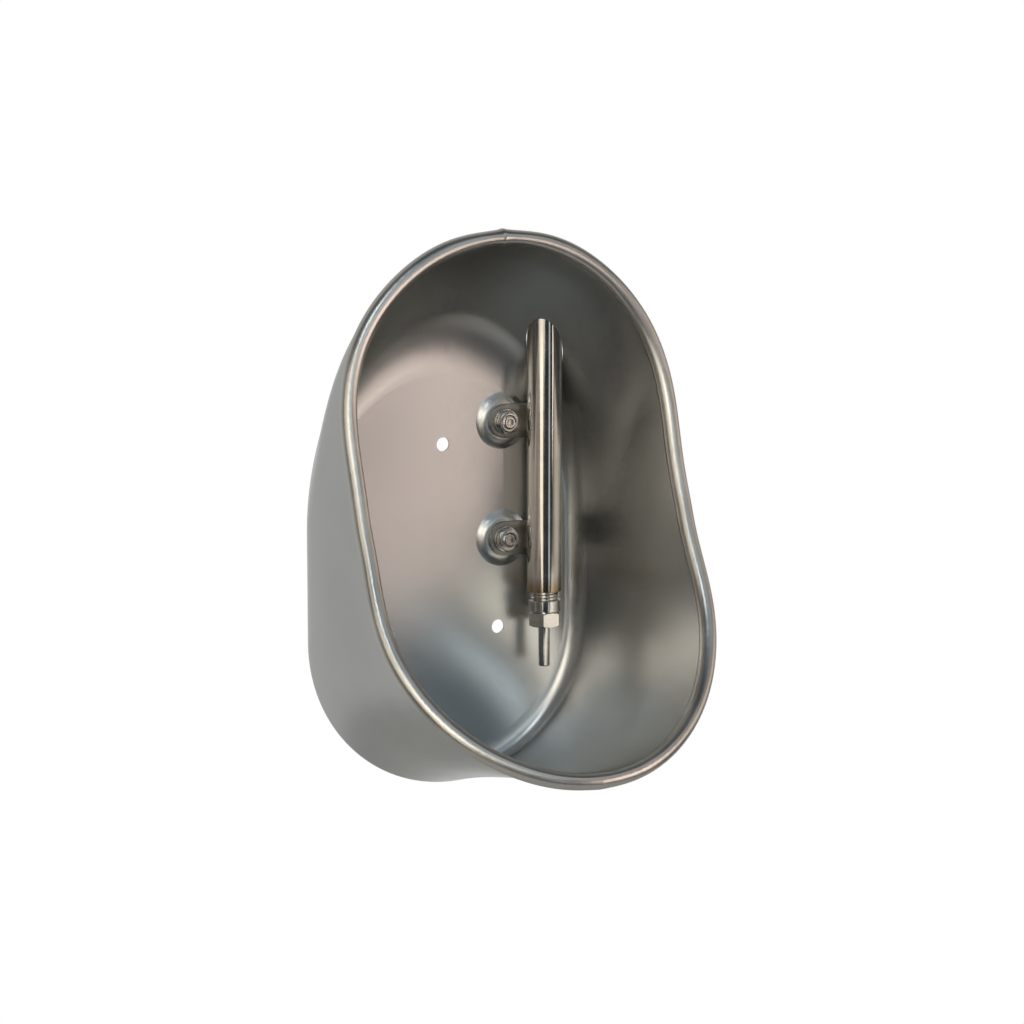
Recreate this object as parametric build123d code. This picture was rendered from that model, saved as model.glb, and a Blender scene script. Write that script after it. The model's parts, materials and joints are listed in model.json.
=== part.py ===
from build123d import *
from math import radians, sqrt, tan
import os

# Livestock drinking bowl: a deep-drawn stainless hood and trough that bolts flat
# to a wall, with a water pipe and a push-pin valve inside it. Millimetres.
# +Z is up, +X is to the viewer's right, and the mouth faces -Y. The origin lies on
# the wall face, on the bowl's line of symmetry. "Depth" is the distance from the
# wall face towards the mouth, so depth d is y = -d.

# ---- bowl sheet: each flank turns a corner off the flat back, then sweeps to the rim ----
SHEET = 1.5
CORNER_DEPTH = 12.0
CORNER_STEPS = 5
SWEEP_STEPS = 7
SWEEP_SPREAD = 1.5
HALF_WIDTH = 104.2
SIDE_SWEEP = 9.7
SIDE_SWEEP_DEPTH = 90.0
SIDE_DRAFT = 0.02
CORNER_WIDTH = 11.5
CORNER_FLARE = 0.35
BOTTOM_Z = -163.6
CORNER_HEIGHT = 14.3
CORNER_RISE = 0.3
RIM_BOTTOM_Z = -126.5
RIM_BOTTOM_DEPTH = 194.0
RIM_RISE = 0.16
FLAT_TOP_Z = 82.8
CORNER_TOP_Z = 124.5
CORNER_TOP_SLOPE = 1.15
HOOD_LIP_Z = 170.0
HOOD_LIP_DEPTH = 78.0
HOOD_LIP_SLOPE = 0.15
CORNER_CENTRE_Z = -3.0
CORNER_CENTRE_SLOPE = 0.5

# ---- rim ring ----
RIM_RADIUS = 5.0
RIM_STEPS = 14
RIM_WELD_WIDTH = 2.4
RIM_WELD_PROUD = 0.3
RIM_SEAT_GAP = 0.05

# ---- wall fixing holes ----
WALL_HOLE_RADIUS = 4.25
TOP_HOLE_Z = 40.4
LOWER_HOLE_Z = -73.5
LOWER_HOLE_X = 37.0

# ---- pressed bosses and their fixings ----
LUG_REACH = 20.9
UPPER_BOSS_Z = 52.5
LOWER_BOSS_Z = -19.0
BOSS_BASE_RADIUS = 17.5
BOSS_TOP_RADIUS = 10.8
BOSS_HEIGHT = 3.0
BOSS_FOOT_SLOPE = 0.25
BOSS_FOOT_SUNK = 0.05
BOLT_RADIUS = 4.0
BOLT_HOLE_CLEARANCE = 0.3
BOLT_HEAD_RADIUS = 8.0
BOLT_HEAD_HEIGHT = 2.4
BOLT_SEAT_GAP = 0.05
BOLT_END_PROUD = 0.9
WASHER_RADIUS = 8.0
WASHER_THICK = 1.6
NUT_FLATS = 13.0
NUT_HEIGHT = 4.0
HEX_SIDES = 6
HEX_CROWN_ANGLE = 30.0
THREAD_CLEARANCE = 0.05

# ---- pipe and its lugs ----
PIPE_RADIUS = 10.65
PIPE_WALL = 2.0
PIPE_FROM_SIDE = 43.8
PIPE_BOTTOM_Z = -50.7
PIPE_TOP_Z = 160.0
PIPE_SEAT_GAP = 0.05
PIPE_HOLE_CLEARANCE = 0.35
INLET_THREAD_RADIUS = 10.48
INLET_THREAD_LENGTH = 15.0
EDGE_CHAMFER = 0.8
LUG_THICK = 2.0
LUG_HALF_HEIGHT = 10.3
LUG_OVERLAP = 7.0
LUG_WELD_INNER = 4.0
LUG_WELD_OUTER = 8.0
LUG_WELD_HALF_LENGTH = 9.0
LUG_WELD_TAPER = 1.0

# ---- push-pin valve ----
VALVE_THREAD_RADIUS = 9.0
VALVE_THREAD_CLEARANCE = 0.1
VALVE_THREAD_LENGTH = 14.5
VALVE_THREAD_PITCH = 1.8
VALVE_THREAD_DEPTH = 0.6
VALVE_THREAD_SHOWN = 4.9
COLLAR_RADIUS = 10.0
COLLAR_HEIGHT = 8.0
HEX_FLATS = 18.0
HEX_HEIGHT = 8.8
VALVE_BORE_RADIUS = 7.65
THROAT_RADIUS = 4.7
MOUTH_RADIUS = 6.0
BALL_RADIUS = 4.6
JOINT_GAP = 0.3
PIN_RADIUS = 3.5
PIN_NECK_RADIUS = 2.4
PIN_NECK_LENGTH = 9.2
PIN_DROP = 24.8
PIN_TIP_CHAMFER = 0.6
PIVOT_BELOW_COLLAR_TOP = 4.4
SEAL_BOTTOM = 3.6
SEAL_TOP = 1.0
CUP_BOTTOM = 2.1
CUP_HEIGHT = 4.6
CUP_NUB_RADIUS = 2.6
CUP_NUB_HEIGHT = 2.0
CUP_SLOTS = 4
CUP_SLOT_WIDTH = 2.4
SPRING_RADIUS = 4.0
SPRING_WIRE_RADIUS = 0.45
SPRING_TURNS = 5
NOZZLE_THICK = 2.5
NOZZLE_HOLE_RADIUS = 1.5
NOZZLE_SEAT_GAP = 0.05
STRAINER_RADIUS = 6.2
STRAINER_WALL = 0.8
STRAINER_HEIGHT = 16.0
STRAINER_FLANGE = 1.2
STRAINER_SLOTS = 6
STRAINER_SLOT_WIDTH = 2.0

# ---- worked out from the sizes above ----
PIPE_X = HALF_WIDTH - PIPE_FROM_SIDE
BOSS_X = PIPE_X - LUG_REACH
BOSS_DEPTH = SHEET + BOSS_HEIGHT
LUG_FRONT = BOSS_DEPTH + LUG_THICK
WASHER_FRONT = LUG_FRONT + WASHER_THICK
NUT_FRONT = WASHER_FRONT + NUT_HEIGHT
PIPE_DEPTH = LUG_FRONT + PIPE_RADIUS + PIPE_SEAT_GAP
PIPE_BORE_RADIUS = PIPE_RADIUS - PIPE_WALL
RIM_DROP = HOOD_LIP_Z - RIM_BOTTOM_Z
RIM_RUN = RIM_BOTTOM_DEPTH - HOOD_LIP_DEPTH
MOUTH_ARC_RADIUS = (RIM_DROP**2 + RIM_RUN**2) / (2 * RIM_RUN)
COLLAR_TOP_Z = PIPE_BOTTOM_Z - VALVE_THREAD_SHOWN
COLLAR_BOTTOM_Z = COLLAR_TOP_Z - COLLAR_HEIGHT
HEX_BOTTOM_Z = COLLAR_BOTTOM_Z - HEX_HEIGHT
VALVE_TOP_Z = COLLAR_TOP_Z + VALVE_THREAD_LENGTH
PIVOT_Z = COLLAR_TOP_Z - PIVOT_BELOW_COLLAR_TOP
CAVITY_RADIUS = VALVE_BORE_RADIUS
SEAL_RADIUS = CAVITY_RADIUS - JOINT_GAP
SOCKET_RADIUS = BALL_RADIUS + JOINT_GAP
CUP_TOP_Z = PIVOT_Z + CUP_BOTTOM + CUP_HEIGHT
NOZZLE_BOTTOM_Z = VALVE_TOP_Z - NOZZLE_THICK

# Each flank: where the flat back ends, then (depth, place, slope) at the end of the
# corner and at the end of the sweep.
SIDE = (
    HALF_WIDTH - SIDE_SWEEP - CORNER_WIDTH,
    (CORNER_DEPTH, HALF_WIDTH - SIDE_SWEEP, CORNER_FLARE),
    (SIDE_SWEEP_DEPTH, HALF_WIDTH, SIDE_DRAFT),
)
BOTTOM = (
    BOTTOM_Z + CORNER_HEIGHT,
    (CORNER_DEPTH, BOTTOM_Z, CORNER_RISE),
    (RIM_BOTTOM_DEPTH, RIM_BOTTOM_Z, RIM_RISE),
)
HOOD = (
    FLAT_TOP_Z,
    (CORNER_DEPTH, CORNER_TOP_Z, CORNER_TOP_SLOPE),
    (HOOD_LIP_DEPTH, HOOD_LIP_Z, HOOD_LIP_SLOPE),
)
HOOD_CENTRE = (
    CORNER_CENTRE_Z - CORNER_CENTRE_SLOPE * CORNER_DEPTH,
    (CORNER_DEPTH, CORNER_CENTRE_Z, CORNER_CENTRE_SLOPE),
    (HOOD_LIP_DEPTH, HOOD_LIP_Z - HALF_WIDTH, HOOD_LIP_SLOPE),
)


def at_depth(depth):
    """The plane parallel to the wall at a depth: local x is X, local y is Z."""
    return Plane.XZ.offset(depth)


def conic(t, start, bend, end):
    """A quarter turn from start to end, along the lines that meet at bend."""
    pull = 2 * sqrt(0.5) * t * (1 - t)
    share = (1 - t) ** 2 + pull + t**2
    return ((1 - t) ** 2 * start + pull * bend + t**2 * end) / share


def set_in(flank, inset):
    """A flank moved square to itself: in for a side or top, out for a bottom."""
    edge = flank[0]
    ends = [(depth, place - inset * sqrt(1 + slope**2), slope) for depth, place, slope in flank[1:]]
    return edge, *ends


def corner_place(flank, t, back):
    """A flank's place in its corner, where the back's surface is at depth back."""
    edge, (depth, place, slope), _ = flank
    return conic(t, edge, place - slope * (depth - back), place)


def sweep_place(flank, depth):
    """A flank's place at a depth past its corner, straight on past the end."""
    _, (depth_0, place_0, slope_0), (depth_1, place_1, slope_1) = flank
    if depth > depth_1:
        return place_1 + slope_1 * (depth - depth_1)
    span = depth_1 - depth_0
    t = (depth - depth_0) / span
    rest = 1 - t
    leaving = rest**2 * (place_0 * (1 + 2 * t) + slope_0 * span * t)
    arriving = t**2 * (place_1 * (1 + 2 * rest) - slope_1 * span * rest)
    return leaving + arriving


def bowl_section(depth, half_width, top_z, centre_z, bottom_z):
    """One outline of the bowl: a round bottom, straight sides and a rounded top."""
    low_z = bottom_z + half_width
    rise = top_z - centre_z
    edges = [
        CenterArc((0, low_z), half_width, 180, 90),
        CenterArc((0, low_z), half_width, 270, 90),
        Line((half_width, low_z), (half_width, centre_z)),
        EllipticalCenterArc((0, centre_z), half_width, rise, start_angle=0, arc_size=90),
        EllipticalCenterArc((0, centre_z), half_width, rise, start_angle=90, arc_size=90),
        Line((-half_width, centre_z), (-half_width, low_z)),
    ]
    return at_depth(depth) * make_face(edges)


def bowl_form(inset):
    """The bowl as a solid, with its whole surface moved in by inset."""
    flanks = [set_in(SIDE, inset), set_in(HOOD, inset), HOOD_CENTRE, set_in(BOTTOM, -inset)]
    corner = []
    for step in range(CORNER_STEPS + 1):
        t = step / CORNER_STEPS
        places = [corner_place(flank, t, inset) for flank in flanks]
        corner.append(bowl_section(conic(t, inset, inset, CORNER_DEPTH), *places))
    reach = RIM_BOTTOM_DEPTH + 2 * RIM_RADIUS - CORNER_DEPTH
    sweeps = []
    for step in range(SWEEP_STEPS + 1):
        depth = CORNER_DEPTH + reach * (step / SWEEP_STEPS) ** SWEEP_SPREAD
        places = [sweep_place(flank, depth) for flank in flanks]
        sweeps.append(bowl_section(depth, *places))
    return loft(corner) + loft(sweeps)


def mouth_cutter(margin):
    """The round cutter whose side is the bowl's mouth, grown by margin."""
    centre = (0, -(HOOD_LIP_DEPTH + MOUTH_ARC_RADIUS), HOOD_LIP_Z)
    length = 2 * (HALF_WIDTH + MOUTH_ARC_RADIUS)
    drum = Cylinder(MOUTH_ARC_RADIUS + margin, length, rotation=(0, 90, 0))
    return Pos(*centre) * drum


def rod(radius, depth_from, depth_to, x, z):
    """A round bar square to the wall."""
    return extrude(at_depth(depth_from) * Pos(x, z) * Circle(radius), depth_to - depth_from)


def boss_dome(depth_from, depth_to, x, z):
    """A pressed boss, turned: flat on top, and its flank runs out softly into the wall."""
    foot = depth_to - BOSS_HEIGHT - BOSS_FOOT_SUNK
    flank = Spline(
        (BOSS_BASE_RADIUS, foot),
        (BOSS_TOP_RADIUS, depth_to),
        tangents=((-1, BOSS_FOOT_SLOPE), (-1, 0)),
    )
    ends = Polyline(
        (BOSS_TOP_RADIUS, depth_to),
        (0, depth_to),
        (0, depth_from),
        (BOSS_BASE_RADIUS, depth_from),
        (BOSS_BASE_RADIUS, foot),
    )
    return at_depth(0) * Pos(x, z) * Rot(X=90) * revolve(make_face(flank + ends), Axis.Y)


def make_bowl_shell(rim_weld):
    shell = bowl_form(0) - bowl_form(SHEET)
    shell -= mouth_cutter(RIM_RADIUS + RIM_SEAT_GAP)
    shell -= rim_weld
    for z in (UPPER_BOSS_Z, LOWER_BOSS_Z):
        shell += boss_dome(SHEET / 2, BOSS_DEPTH, BOSS_X, z)
        shell -= boss_dome(-SHEET, BOSS_HEIGHT, BOSS_X, z)
        shell -= rod(BOLT_RADIUS + BOLT_HOLE_CLEARANCE, 0, 2 * BOSS_DEPTH, BOSS_X, z)
    for x, z in ((0, TOP_HOLE_Z), (-LOWER_HOLE_X, LOWER_HOLE_Z), (LOWER_HOLE_X, LOWER_HOLE_Z)):
        shell -= rod(WALL_HOLE_RADIUS, -SHEET, 2 * SHEET, x, z)
    return shell - disc(PIPE_RADIUS + PIPE_HOLE_CLEARANCE, 0, HOOD_LIP_Z)


def rim_stations():
    """Planes square to the rim's right half, from its top to its bottom."""
    core = bowl_form(SHEET / 2) - mouth_cutter(0)
    mouth = core.faces().filter_by(GeomType.CYLINDER).sort_by(SortBy.AREA)[-1]
    right = split(mouth, Plane.YZ, keep=Keep.TOP)
    line = Wire([edge for edge in right.edges() if (edge @ 0.5).X > SHEET])
    if (line @ 0).Z < (line @ 1).Z:
        line = Wire([edge.reversed() for edge in reversed(line.edges())])
    stations = []
    for step in range(RIM_STEPS + 1):
        share = step / RIM_STEPS
        ahead = line % share
        if step in (0, RIM_STEPS):
            ahead = Vector(ahead.X, 0, 0)
        stations.append(Plane(line @ share, z_dir=ahead))
    return stations


def rim_bar(stations, radius):
    """A round bar all along the rim."""
    half = loft([station * Circle(radius) for station in stations])
    return half + mirror(half, about=Plane.YZ)


def make_rim():
    stations = rim_stations()
    seam_side = 4 * RIM_RADIUS
    seam = Pos(0, -HOOD_LIP_DEPTH, HOOD_LIP_Z) * Box(RIM_WELD_WIDTH, seam_side, seam_side)
    ring = rim_bar(stations, RIM_RADIUS) - seam
    weld = rim_bar(stations, RIM_RADIUS + RIM_WELD_PROUD) & seam
    return ring, weld


def turned(points):
    """A turned piece on the pipe's axis, from (radius, z) corners of its half section."""
    half = Plane.XZ * make_face(Polyline(*points, close=True))
    return on_pipe(revolve(half, Axis.Z))


def on_pipe(shape, z=0):
    """A shape placed on the pipe's axis at a height."""
    return Pos(PIPE_X, -PIPE_DEPTH, z) * shape


def disc(radius, z_from, z_to):
    """A round bar along the pipe's axis."""
    bar = Cylinder(radius, z_to - z_from, align=(Align.CENTER, Align.CENTER, Align.MIN))
    return on_pipe(bar, z_from)


def make_water_pipe():
    socket_depth = VALVE_THREAD_LENGTH - VALVE_THREAD_SHOWN + EDGE_CHAMFER
    thread_z = PIPE_TOP_Z - INLET_THREAD_LENGTH
    pipe = turned(
        (
            (0, PIPE_BOTTOM_Z),
            (PIPE_RADIUS, PIPE_BOTTOM_Z),
            (PIPE_RADIUS, thread_z),
            (INLET_THREAD_RADIUS, thread_z),
            (INLET_THREAD_RADIUS, PIPE_TOP_Z - EDGE_CHAMFER),
            (INLET_THREAD_RADIUS - EDGE_CHAMFER, PIPE_TOP_Z),
            (0, PIPE_TOP_Z),
        )
    )
    pipe -= disc(PIPE_BORE_RADIUS, PIPE_BOTTOM_Z, PIPE_TOP_Z)
    pipe -= disc(
        VALVE_THREAD_RADIUS + VALVE_THREAD_CLEARANCE, PIPE_BOTTOM_Z, PIPE_BOTTOM_Z + socket_depth
    )
    return pipe


def make_lug(z):
    """A flat strap from the boss to the back of the pipe, round at the bolted end."""
    length = PIPE_X + LUG_OVERLAP - BOSS_X
    outline = Circle(LUG_HALF_HEIGHT) + Pos(length / 2, 0) * Rectangle(
        length, 2 * LUG_HALF_HEIGHT
    )
    outline -= Circle(BOLT_RADIUS + BOLT_HOLE_CLEARANCE)
    return extrude(at_depth(BOSS_DEPTH) * Pos(BOSS_X, z) * outline, LUG_THICK)


def make_lug_weld(z):
    """The fillet weld in the corner between a lug and the pipe."""
    width = LUG_WELD_OUTER - LUG_WELD_INNER
    corner = Polyline(
        (PIPE_X - LUG_WELD_INNER, -LUG_FRONT),
        (PIPE_X - LUG_WELD_OUTER, -LUG_FRONT),
        (PIPE_X - LUG_WELD_OUTER + LUG_WELD_TAPER, -LUG_FRONT - width),
        (PIPE_X - LUG_WELD_INNER, -LUG_FRONT - width),
        close=True,
    )
    low = z - LUG_WELD_HALF_LENGTH
    weld = extrude(Plane.XY.offset(low) * make_face(corner), 2 * LUG_WELD_HALF_LENGTH)
    return weld - disc(PIPE_RADIUS, low, z + LUG_WELD_HALF_LENGTH)


def make_bolt(z):
    """A flat-headed stud bolt: its head lies sunk in the hollow of the boss."""
    seat = BOSS_HEIGHT - BOLT_SEAT_GAP
    tip = NUT_FRONT + BOLT_END_PROUD
    bolt = rod(BOLT_HEAD_RADIUS, seat - BOLT_HEAD_HEIGHT, seat, BOSS_X, z)
    bolt += rod(BOLT_RADIUS, seat, tip, BOSS_X, z)
    end = bolt.edges().group_by(Axis.Y)[0]
    return chamfer(end, EDGE_CHAMFER)


def make_washer(z):
    hole = BOLT_RADIUS + BOLT_HOLE_CLEARANCE
    ring = Circle(WASHER_RADIUS) - Circle(hole)
    return extrude(at_depth(LUG_FRONT) * Pos(BOSS_X, z) * ring, WASHER_THICK)


def crowned_hex(flats, height):
    """A hexagon along +Z with its corners turned off at both ends."""
    prism = extrude(RegularPolygon(flats / 2, HEX_SIDES, major_radius=False), height)
    corner = flats / sqrt(3)
    drop = (corner - flats / 2) * tan(radians(HEX_CROWN_ANGLE))
    crown = Polyline(
        (0, 0),
        (flats / 2, 0),
        (corner, drop),
        (corner, height - drop),
        (flats / 2, height),
        (0, height),
        close=True,
    )
    return prism & revolve(Plane.XZ * make_face(crown), Axis.Z)


def make_nut(z):
    nut = crowned_hex(NUT_FLATS, NUT_HEIGHT)
    through = (Align.CENTER, Align.CENTER, Align.MIN)
    nut -= Cylinder(BOLT_RADIUS + THREAD_CLEARANCE, NUT_HEIGHT, align=through)
    return at_depth(WASHER_FRONT) * Pos(BOSS_X, z) * nut


def make_valve_body():
    """Threaded spigot, round collar and spanner hexagon, bored for the pin."""
    outline = [(0, VALVE_TOP_Z), (VALVE_THREAD_RADIUS, VALVE_TOP_Z)]
    ridge_z = PIPE_BOTTOM_Z
    root = VALVE_THREAD_RADIUS - VALVE_THREAD_DEPTH
    while ridge_z > COLLAR_TOP_Z + VALVE_THREAD_PITCH / 2:
        outline += [
            (VALVE_THREAD_RADIUS, ridge_z),
            (root, ridge_z - VALVE_THREAD_PITCH / 2),
            (VALVE_THREAD_RADIUS, ridge_z - VALVE_THREAD_PITCH),
        ]
        ridge_z -= VALVE_THREAD_PITCH + VALVE_THREAD_DEPTH
    outline += [
        (VALVE_THREAD_RADIUS, COLLAR_TOP_Z),
        (COLLAR_RADIUS, COLLAR_TOP_Z),
        (COLLAR_RADIUS, COLLAR_BOTTOM_Z + EDGE_CHAMFER),
        (COLLAR_RADIUS - EDGE_CHAMFER, COLLAR_BOTTOM_Z),
        (0, COLLAR_BOTTOM_Z),
    ]
    body = turned(outline)
    body += on_pipe(crowned_hex(HEX_FLATS, HEX_HEIGHT), HEX_BOTTOM_Z)
    throat_z = PIVOT_Z - sqrt(CAVITY_RADIUS**2 - THROAT_RADIUS**2)
    body -= turned(
        (
            (0, PIVOT_Z),
            (THROAT_RADIUS, PIVOT_Z),
            (THROAT_RADIUS, throat_z),
            (MOUTH_RADIUS, HEX_BOTTOM_Z),
            (0, HEX_BOTTOM_Z),
        )
    )
    body -= disc(CAVITY_RADIUS, PIVOT_Z, VALVE_TOP_Z)
    body -= on_pipe(Sphere(CAVITY_RADIUS), PIVOT_Z)
    return body


def make_valve_pin():
    """The push pin: a ball head, a neck through the throat and a round stem."""
    neck_end = PIVOT_Z - PIN_NECK_LENGTH
    tip = HEX_BOTTOM_Z - PIN_DROP
    pin = turned(
        (
            (0, PIVOT_Z),
            (PIN_NECK_RADIUS, PIVOT_Z),
            (PIN_NECK_RADIUS, neck_end + PIN_RADIUS - PIN_NECK_RADIUS),
            (PIN_RADIUS, neck_end),
            (PIN_RADIUS, tip + PIN_TIP_CHAMFER),
            (PIN_RADIUS - PIN_TIP_CHAMFER, tip),
            (0, tip),
        )
    )
    return pin + on_pipe(Sphere(BALL_RADIUS), PIVOT_Z)


def make_pin_seal():
    """The rubber seal round the ball: a zone of a hollow sphere."""
    zone = disc(VALVE_BORE_RADIUS, PIVOT_Z - SEAL_BOTTOM, PIVOT_Z + SEAL_TOP)
    seal = on_pipe(Sphere(SEAL_RADIUS), PIVOT_Z) & zone
    return seal - on_pipe(Sphere(SOCKET_RADIUS), PIVOT_Z)


def make_spring_cup():
    """The plastic cup that the spring presses onto the ball."""
    bottom = PIVOT_Z + CUP_BOTTOM
    cup = disc(CAVITY_RADIUS - JOINT_GAP, bottom, CUP_TOP_Z)
    cup += disc(CUP_NUB_RADIUS, CUP_TOP_Z, CUP_TOP_Z + CUP_NUB_HEIGHT)
    cup -= on_pipe(Sphere(SOCKET_RADIUS), PIVOT_Z)
    for turn in range(CUP_SLOTS):
        slot = Pos(CAVITY_RADIUS, 0, 0) * Box(CUP_SLOT_WIDTH, CUP_SLOT_WIDTH, 3 * CUP_HEIGHT)
        cup -= on_pipe(Rot(Z=360 * turn / CUP_SLOTS) * slot, bottom)
    return cup


def make_valve_spring():
    low = CUP_TOP_Z + SPRING_WIRE_RADIUS + NOZZLE_SEAT_GAP
    high = NOZZLE_BOTTOM_Z - SPRING_WIRE_RADIUS - NOZZLE_SEAT_GAP
    coil = Helix((high - low) / SPRING_TURNS, high - low, SPRING_RADIUS)
    wire = sweep(Plane(coil @ 0, z_dir=coil % 0) * Circle(SPRING_WIRE_RADIUS), path=coil)
    return on_pipe(wire, low)


def make_flow_nozzle():
    """The plug that holds the spring in and meters the water."""
    nozzle = disc(VALVE_BORE_RADIUS - NOZZLE_SEAT_GAP, NOZZLE_BOTTOM_Z, VALVE_TOP_Z)
    return nozzle - disc(NOZZLE_HOLE_RADIUS, NOZZLE_BOTTOM_Z, VALVE_TOP_Z)


def make_strainer():
    """A slotted basket over the nozzle, with a flange on the valve body's end."""
    top = VALVE_TOP_Z + STRAINER_HEIGHT
    basket = disc(STRAINER_RADIUS, VALVE_TOP_Z, top)
    basket += disc(VALVE_BORE_RADIUS, VALVE_TOP_Z, VALVE_TOP_Z + STRAINER_FLANGE)
    basket -= disc(STRAINER_RADIUS - STRAINER_WALL, VALVE_TOP_Z, top - STRAINER_WALL)
    slot_height = STRAINER_HEIGHT - 2 * STRAINER_FLANGE - 2 * STRAINER_WALL
    for turn in range(STRAINER_SLOTS):
        slot = Pos(STRAINER_RADIUS, 0, 0) * Box(
            4 * STRAINER_WALL, STRAINER_SLOT_WIDTH, slot_height
        )
        middle = VALVE_TOP_Z + STRAINER_FLANGE + STRAINER_WALL + slot_height / 2
        basket -= on_pipe(Rot(Z=360 * turn / STRAINER_SLOTS) * slot, middle)
    return basket


def make_parts():
    ring, weld = make_rim()
    parts = {
        "bowl_shell": make_bowl_shell(weld),
        "rim_ring": ring,
        "rim_weld": weld,
        "water_pipe": make_water_pipe(),
        "valve_body": make_valve_body(),
        "valve_pin": make_valve_pin(),
        "pin_seal": make_pin_seal(),
        "spring_cup": make_spring_cup(),
        "valve_spring": make_valve_spring(),
        "flow_nozzle": make_flow_nozzle(),
        "strainer": make_strainer(),
    }
    for place, z in (("upper", UPPER_BOSS_Z), ("lower", LOWER_BOSS_Z)):
        parts[place + "_lug"] = make_lug(z)
        parts[place + "_lug_weld"] = make_lug_weld(z)
        parts[place + "_bolt"] = make_bolt(z)
        parts[place + "_washer"] = make_washer(z)
        parts[place + "_nut"] = make_nut(z)
    return parts


os.makedirs("parts", exist_ok=True)
for name, shape in make_parts().items():
    export_step(shape, "parts/" + name + ".step")
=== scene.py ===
# %% [markdown]
# # A livestock drinking bowl in stainless steel
# The bowl hangs on a wall or a pen post. A pig or a calf pushes the pin in the middle
# and water runs down into the trough. The construction comes packed from the CAD model,
# at its true size, so this script never moves or resizes a part. It gives every surface
# its finish, and models the small pieces that a construction drawing leaves plain.

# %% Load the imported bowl
import bpy
import bmesh
import json
import math
import random
from mathutils import Matrix, Vector


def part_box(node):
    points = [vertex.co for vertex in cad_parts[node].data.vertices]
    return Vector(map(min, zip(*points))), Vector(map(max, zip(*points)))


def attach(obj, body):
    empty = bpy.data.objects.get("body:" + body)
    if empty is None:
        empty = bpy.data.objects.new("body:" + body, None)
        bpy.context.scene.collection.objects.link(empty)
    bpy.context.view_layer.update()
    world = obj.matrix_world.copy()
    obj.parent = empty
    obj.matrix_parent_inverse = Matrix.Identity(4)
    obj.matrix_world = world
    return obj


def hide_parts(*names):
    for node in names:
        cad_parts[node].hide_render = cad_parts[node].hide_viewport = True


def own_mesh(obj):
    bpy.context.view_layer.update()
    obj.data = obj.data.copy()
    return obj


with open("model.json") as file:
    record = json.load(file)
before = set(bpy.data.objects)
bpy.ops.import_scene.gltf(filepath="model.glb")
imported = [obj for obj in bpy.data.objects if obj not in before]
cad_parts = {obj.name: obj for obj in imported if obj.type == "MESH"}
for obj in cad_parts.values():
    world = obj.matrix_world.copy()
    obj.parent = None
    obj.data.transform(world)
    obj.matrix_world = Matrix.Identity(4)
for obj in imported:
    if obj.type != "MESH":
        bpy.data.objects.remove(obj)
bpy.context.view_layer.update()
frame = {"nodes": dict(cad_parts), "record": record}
nodes = frame["nodes"]

# %% [markdown]
# ## Units
# The frame is in metres, but a maker thinks of this bowl in millimetres. One factor
# turns the one into the other, and every size below is written in millimetres.

# %% Millimetres
MM = 0.001


def mm(*values):
    return Vector([value * MM for value in values])


print("one millimetre is", MM, "in this frame")

# %% [markdown]
# ## The camera
# The bowl is seen from two metres away with a long lens, from the left and from a little
# above. A long lens keeps the rim's two ends nearly the same size. The camera looks at a
# point inside the bowl, so no lens shift is needed.

# %% Camera
AZIMUTH = math.radians(-27.88)
ELEVATION = math.radians(8.82)
CAMERA_DISTANCE = 2.0
LENS_MM = 121.2
aim = mm(5.1, -80.0, 9.9)


def looking_from(azimuth, elevation):
    """The way from the bowl to a viewer: azimuth 0 is straight in front, minus is left."""
    level = math.cos(elevation)
    return Vector(
        (math.sin(azimuth) * level, -math.cos(azimuth) * level, math.sin(elevation))
    )


toward_camera = looking_from(AZIMUTH, ELEVATION)
camera = bpy.data.objects.new("camera", bpy.data.cameras.new("camera"))
camera.data.lens = LENS_MM
camera.location = aim + toward_camera * CAMERA_DISTANCE
camera.rotation_euler = toward_camera.to_track_quat("Z", "Y").to_euler()
bpy.context.scene.collection.objects.link(camera)
bpy.context.scene.camera = camera
bpy.context.scene.view_settings.view_transform = "Standard"
print("camera at", tuple(round(c, 3) for c in camera.location))

# %% [markdown]
# ## Two small helpers for materials
# Colours are given as sRGB hex values, and the shader wants linear light, so one
# function converts them. The other adds a node of any kind, sets its options, and sets
# or links its inputs. With it a material reads from top to bottom like a recipe.

# %% Colour and node helpers
SRGB_KNEE = 0.04045


def linear(hex_colour):
    channels = [int(hex_colour[i:i + 2], 16) / 255 for i in (1, 3, 5)]
    curve = [c / 12.92 if c <= SRGB_KNEE else ((c + 0.055) / 1.055) ** 2.4 for c in channels]
    return (*curve, 1.0)


def add(tree, kind, inputs, **options):
    """Add a node. An input that is given a node is linked to that node's first output."""
    node = tree.nodes.new(kind)
    for name, value in options.items():
        setattr(node, name, value)
    for name, value in inputs.items():
        socket = node.inputs[name]
        if isinstance(name, str):
            socket = next(s for s in node.inputs if s.name == name and s.enabled)
        if isinstance(value, bpy.types.Node):
            value = next(output for output in value.outputs if output.enabled)
        if isinstance(value, bpy.types.NodeSocket):
            tree.links.new(value, socket)
        else:
            socket.default_value = value
    return node


def new_material(name):
    """An empty material, its node tree and the place on the piece that patterns read."""
    material = bpy.data.materials.new(name)
    material.use_nodes = True
    tree = material.node_tree
    tree.nodes.clear()
    return material, tree, add(tree, "ShaderNodeTexCoord", {}).outputs["Object"]


print("mid grey #808080 is", round(linear("#808080")[0], 3), "in linear light")

# %% [markdown]
# ## A pattern's scale
# Metal gets its look from how it was made, so each finish below starts from a process.
# A pattern's scale is worked out from a real size: `per(size)` gives the noise scale
# whose features are that many millimetres across. A pattern is stretched along Z, the
# way the sheet was rolled and the tube was drawn, by squeezing its coordinates. Noise
# seldom leaves the band from 0.3 to 0.7, so that band is what gets spread over a range.

# %% Pattern scale
NOISE_BAND = {"From Min": 0.3, "From Max": 0.7}


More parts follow.
